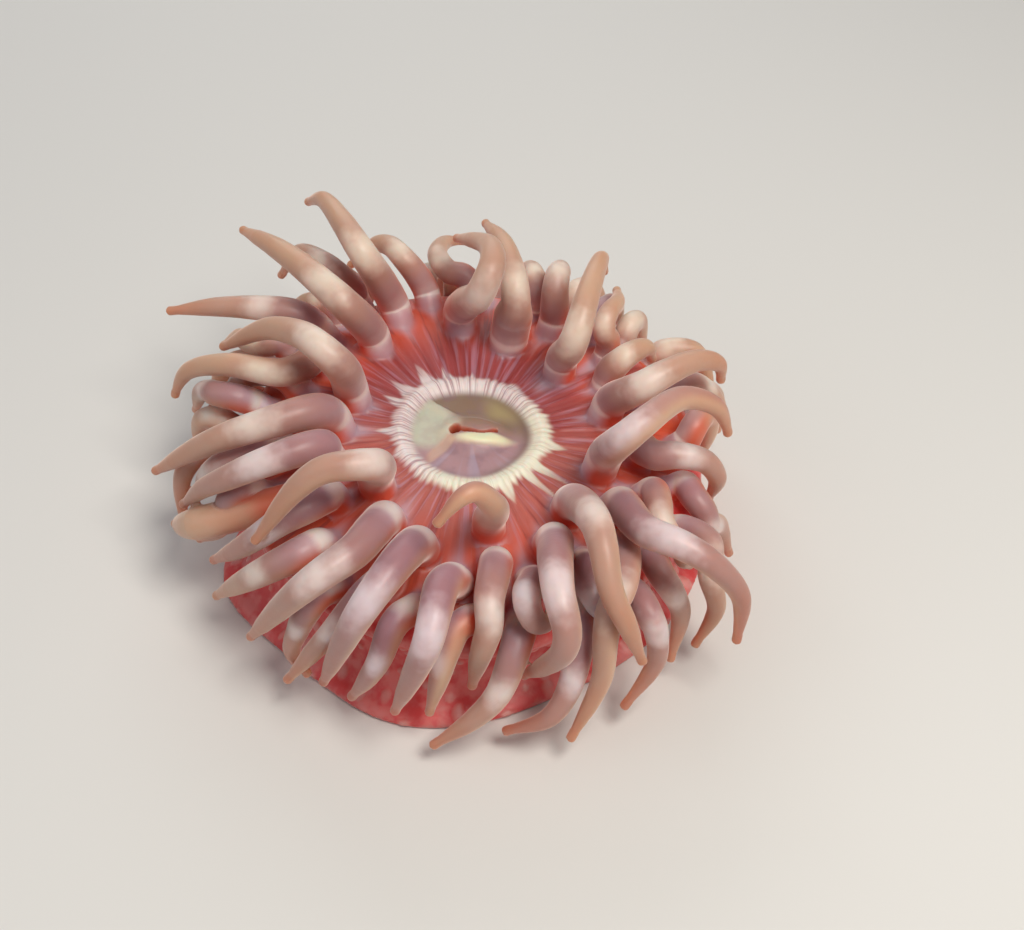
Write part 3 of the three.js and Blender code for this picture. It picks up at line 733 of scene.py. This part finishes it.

# the mouth: inside the ring a mauve dish with painted shade, brown at the back where the slope turns from
# the light and darker under the ring's right inner edge; its pad, groove, lips and slit are laid over it
DISH_NEAR, DISH_BACK_SHADE, DISH_PLUM = (0.42, 0.245, 0.265), (0.275, 0.18, 0.125), (0.27, 0.16, 0.20)
DISH_LILAC, DISH_OCHRE, DISH_EDGE_SHADE = (0.44, 0.36, 0.46), (0.40, 0.31, 0.165), (0.22, 0.135, 0.10)
PAD_LIGHT, PAD_DULL, GROOVE_PINK = (0.55, 0.54, 0.43), (0.51, 0.47, 0.385), (0.62, 0.40, 0.31)
LIP_CREAM, SLIT_RED, SLIT_SHADE = (0.80, 0.74, 0.50), (0.46, 0.085, 0.030), (0.22, 0.012, 0.004)
dish_shade = noise(place, 300.0, 3.0)
dish_streaks = noise(polar(4.0, 0.04), 1.0, 1.0, 0.5)
# painted shade: the back of the dish turns brown, standing in for the slope there that faces away from the
# light
dish_colour = over(step(-3.0, 3.5, py), DISH_NEAR, DISH_BACK_SHADE)
dish_colour = over(calc("MULTIPLY", step(0.46, 0.66, dish_shade), 0.45), dish_colour, DISH_PLUM)
pale_below = calc("MULTIPLY", step(0.50, 0.68, dish_streaks), step(-3.0, -7.0, py))
dish_colour = over(calc("MULTIPLY", pale_below, 0.55), dish_colour, DISH_LILAC)
far_right = calc("MULTIPLY", step(1.0, 6.0, px), step(2.5, 7.0, py))
dish_colour = over(far_right, dish_colour, DISH_OCHRE)
# painted shade: a dark brown band inside the ring's right inner edge, where the ring shades the dish
right_edge_shade = calc("MULTIPLY", step(9.5, 12.5, far), step(-2.0, 7.0, px))
dish_colour = over(calc("MULTIPLY", right_edge_shade, 0.6), dish_colour, DISH_EDGE_SHADE)
dish_colour = over(carried("pad"), dish_colour, over(step(0.38, 0.66, dish_shade), PAD_LIGHT, PAD_DULL))
dish_colour = over(calc("MULTIPLY", carried("groove"), 0.75), dish_colour, GROOVE_PINK)
dish_colour = over(carried("lip_roll"), dish_colour, LIP_CREAM)
dish_colour = over(carried("slit_red"), dish_colour, SLIT_RED)
# painted shade deep in the slit, laid over the red of its throat
dish_colour = over(carried("slit_shade"), dish_colour, SLIT_SHADE)
inside_ring = calc("MULTIPLY", step(14.2, 12.2, far), step(30.5, 31.5, pz))
body_colour = over(inside_ring, body_colour, dish_colour)

# the ring: white pleats with mauve lines, painted shade of darker mauve in the hollows of the pleats,
# creamier in front on the right
RING_WHITE, RING_LINE, RING_HOLLOW_SHADE = (0.74, 0.66, 0.65), (0.46, 0.32, 0.35), (0.47, 0.34, 0.36)
RING_CREAM = (0.80, 0.80, 0.62)
ring_lines = noise(polar(26.0, 0.06), 1.6, 2.0, 0.6)
ring_colour = over(step(0.50, 0.66, ring_lines), RING_WHITE, RING_LINE)
# painted shade: the hollows between the pleats are coloured darker
ring_colour = over(step(-0.2, -0.95, carried("pleat")), ring_colour, RING_HOLLOW_SHADE)
front_right = step(-0.1, 0.8, calc("DIVIDE", calc("SUBTRACT", px, py), from_middle))
ring_colour = over(calc("MULTIPLY", front_right, 0.7), ring_colour, RING_CREAM)
body_colour = over(carried("ring"), body_colour, ring_colour)

# the fingers, from the root to the tip: the side by the mouth is peach or mauve by the finger's tone
along_it = carried("along")
oral_side = carried("oral")
toned = carried("tone")
mottled = calc("SUBTRACT", noise(place, 260.0, 2.0), 0.5)
soft_along = calc("ADD", along_it, calc("MULTIPLY", mottled, 0.06))
# the pale stop just past the root in each of these ramps is partly lilac flesh and partly the painted glow
# of the rim there
peach = ramp(
    soft_along,
    (0.0, (0.50, 0.30, 0.34)),
    (0.05, (0.64, 0.50, 0.51)),
    (0.10, (0.52, 0.36, 0.36)),
    (0.18, (0.40, 0.235, 0.235)),
    (0.32, (0.43, 0.25, 0.205)),
    (0.62, (0.53, 0.34, 0.235)),
    (0.82, (0.52, 0.30, 0.19)),
    (1.0, (0.50, 0.245, 0.145)),
)
mauve = ramp(
    soft_along,
    (0.0, (0.52, 0.38, 0.48)),
    (0.07, (0.64, 0.55, 0.66)),
    (0.13, (0.54, 0.42, 0.52)),
    (0.22, (0.36, 0.20, 0.25)),
    (0.34, (0.33, 0.17, 0.20)),
    (0.62, (0.39, 0.215, 0.205)),
    (0.82, (0.38, 0.18, 0.15)),
    (1.0, (0.40, 0.155, 0.11)),
)
mouth_side_colour = over(toned, peach, mauve)

# the side away from the mouth is scarlet at the root and tan beyond
flank = ramp(
    soft_along,
    (0.0, (0.64, 0.095, 0.045)),
    (0.16, (0.60, 0.15, 0.085)),
    (0.30, (0.54, 0.28, 0.19)),
    (0.60, (0.57, 0.37, 0.26)),
    (0.85, (0.54, 0.32, 0.215)),
    (1.0, (0.50, 0.245, 0.155)),
)
red_foot = calc("MULTIPLY", step(0.36, 0.10, along_it), 0.3)
mouth_share = step(-0.25, 0.70, calc("SUBTRACT", oral_side, red_foot))
finger_colour = over(mouth_share, flank, mouth_side_colour)

# a soft pale band goes round the middle, partly the finger's own marking and partly a painted diffuse
# highlight, and a paler rim over the bend near the root is a painted glow
BAND_HIGHLIGHT_WARM, BAND_HIGHLIGHT_COOL, RIM_GLOW_WHITE = (0.77, 0.66, 0.56), (0.72, 0.62, 0.67), (0.80, 0.71, 0.68)
BAND_MIDDLE, BAND_HALF, RIM_MIDDLE, RIM_HALF = 0.41, 0.12, 0.065, 0.032


def off_middle(middle):
    """How far along a finger a point is from the middle of a marking."""
    return calc("ABSOLUTE", calc("SUBTRACT", along_it, middle))


# partly painted highlight: the pale band lies on the side by the mouth, as a soft highlight along the
# finger would
band_middle = calc("ADD", BAND_MIDDLE, calc("MULTIPLY", toned, 0.07))
band_middle = calc("ADD", calc("MULTIPLY", mottled, 0.12), band_middle)
band_and_highlight = step(0.0, 1.0, calc("SUBTRACT", 1.0, calc("DIVIDE", off_middle(band_middle), BAND_HALF)))
band_and_highlight = calc("MULTIPLY", band_and_highlight, step(-0.6, 0.7, oral_side))
band_highlight_colour = over(toned, BAND_HIGHLIGHT_WARM, BAND_HIGHLIGHT_COOL)
finger_colour = over(calc("MULTIPLY", band_and_highlight, 0.85), finger_colour, band_highlight_colour)
# painted glow: a paler rim over the bend by the root stands in for light glowing through the thin flesh at
# its edge
rim_middle = calc("ADD", RIM_MIDDLE, calc("MULTIPLY", toned, 0.075))
rim_half = calc("ADD", RIM_HALF, calc("MULTIPLY", toned, 0.050))
rim_glow = step(1.1, 0.2, calc("DIVIDE", off_middle(rim_middle), rim_half))
rim_glow = calc("MULTIPLY", rim_glow, step(0.0, 0.7, oral_side))
finger_colour = over(calc("MULTIPLY", rim_glow, 0.85), finger_colour, RIM_GLOW_WHITE)
links.new(over(carried("arm"), body_colour, finger_colour), surface.inputs["Base Color"])

# wet flesh: light comes through it, its edges glow, and a fine unevenness breaks the shine
for label, value in (
    ("Roughness", 0.48),
    ("Subsurface Weight", 0.9),
    ("Subsurface Radius", (1.0, 0.5, 0.38)),
    ("Subsurface Scale", 0.008),
    ("Coat Weight", 0.09),
    ("Coat Roughness", 0.28),
    ("Sheen Weight", 0.6),
    ("Sheen Roughness", 0.3),
    ("Sheen Tint", (1.0, 0.86, 0.80, 1)),
):
    surface.inputs[label].default_value = value
bump = nodes.new("ShaderNodeBump")
bump.inputs["Distance"].default_value = 0.0003
bump.inputs["Strength"].default_value = 0.2
links.new(noise(place, 500.0, 2.0), bump.inputs["Height"])
links.new(bump.outputs["Normal"], surface.inputs["Normal"])

skin = bpy.data.objects.new("anemone_skin", net)
bpy.context.scene.collection.objects.link(skin)
net.materials.clear()
net.materials.append(flesh)
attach(skin, "root")
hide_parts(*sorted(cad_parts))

# ---- the floor, the light and the camera ----
# A plain pale painted floor under plain soft studio light. It isn't part of the animal. The camera
# stands in front and looks down at it.
FLOOR_HALF = 3
floor_corners = [(-1, -1), (1, -1), (1, 1), (-1, 1)]
floor_mesh = bpy.data.meshes.new("floor")
floor_mesh.from_pydata([(FLOOR_HALF * x, FLOOR_HALF * y, 0) for x, y in floor_corners], [], [(0, 1, 2, 3)])
floor = bpy.data.objects.new("floor", floor_mesh)
bpy.context.scene.collection.objects.link(floor)
paint = bpy.data.materials.new("floor_paint")
paint.use_nodes = True
paint_surface = paint.node_tree.nodes["Principled BSDF"]
paint_surface.inputs["Base Color"].default_value = (0.70, 0.69, 0.67, 1)
paint_surface.inputs["Roughness"].default_value = 0.8
floor_mesh.materials.append(paint)

LAMPS_AIM = Vector((0, 0, 0.02))
LAMPS = (  # name, place, width of the panel, watts and tint
    ("key", (0.22, -0.25, 0.60), 0.25, 3.8, (1.0, 0.95, 0.87)),
    ("fill", (-0.5, -0.2, 0.4), 0.5, 0.7, (0.95, 0.97, 1.0)),
    ("back", (-0.1, 0.55, 0.4), 0.5, 1.3, (1.0, 1.0, 1.0)),
)
for label, place_at, size, power, tint in LAMPS:
    lamp = bpy.data.lights.new(label, "AREA")
    lamp.size = size
    lamp.energy = power
    lamp.color = tint
    holder = bpy.data.objects.new(label, lamp)
    holder.location = place_at
    holder.rotation_euler = (LAMPS_AIM - Vector(place_at)).to_track_quat("-Z", "Y").to_euler()
    bpy.context.scene.collection.objects.link(holder)

world = bpy.data.worlds.new("studio")
world.use_nodes = True
backdrop = world.node_tree.nodes["Background"]
backdrop.inputs["Color"].default_value = (0.9, 0.92, 0.95, 1)
backdrop.inputs["Strength"].default_value = 0.18
bpy.context.scene.world = world

CAMERA_PLACE, CAMERA_TILT = (0.0088, -0.2310, 0.25454), 45
lens = bpy.data.cameras.new("camera")
lens.sensor_width = 36
lens.lens = 53.58
camera = bpy.data.objects.new("camera", lens)
camera.location = CAMERA_PLACE
camera.rotation_euler = (math.radians(CAMERA_TILT), 0, 0)
bpy.context.scene.collection.objects.link(camera)
bpy.context.scene.camera = camera

bpy.context.scene.view_settings.view_transform = "Standard"
